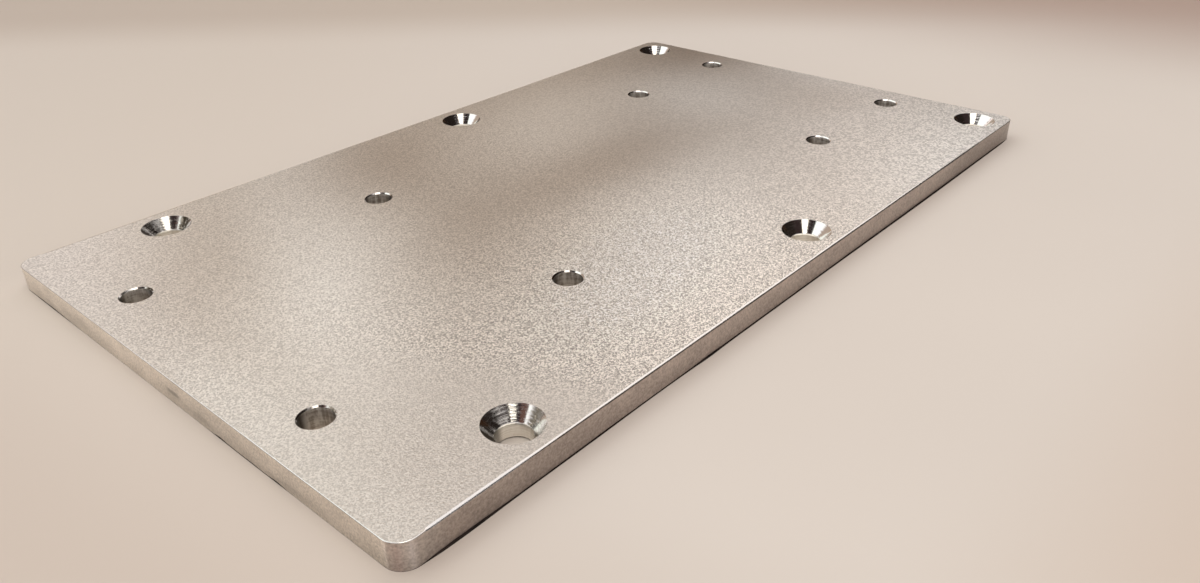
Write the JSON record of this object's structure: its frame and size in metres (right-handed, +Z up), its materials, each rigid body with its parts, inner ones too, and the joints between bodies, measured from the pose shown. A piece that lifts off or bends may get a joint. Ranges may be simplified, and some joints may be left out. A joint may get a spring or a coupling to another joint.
{
  "type": "adapter plate",
  "caption": "Flat rectangular aluminium adapter plate with rounded corners, countersunk screw holes along both long sides and rows of plain bolt holes between them.",
  "frame": {"origin": "centre of the plate's outline, on its underside", "axes": "+X along the plate, towards the end where the countersunk rows come closest to the edge; +Y across it; +Z up through its thickness, from the underside to the countersunk face"},
  "size_m": [0.254, 0.1524, 0.0063],
  "materials": {
    "aluminium": "fine blasted faces with a satin sparkle, milled edges, bright turned countersinks"
  },
  "bodies": {
    "root": {"adapter_plate": "aluminium"}
  },
  "joints": []
}
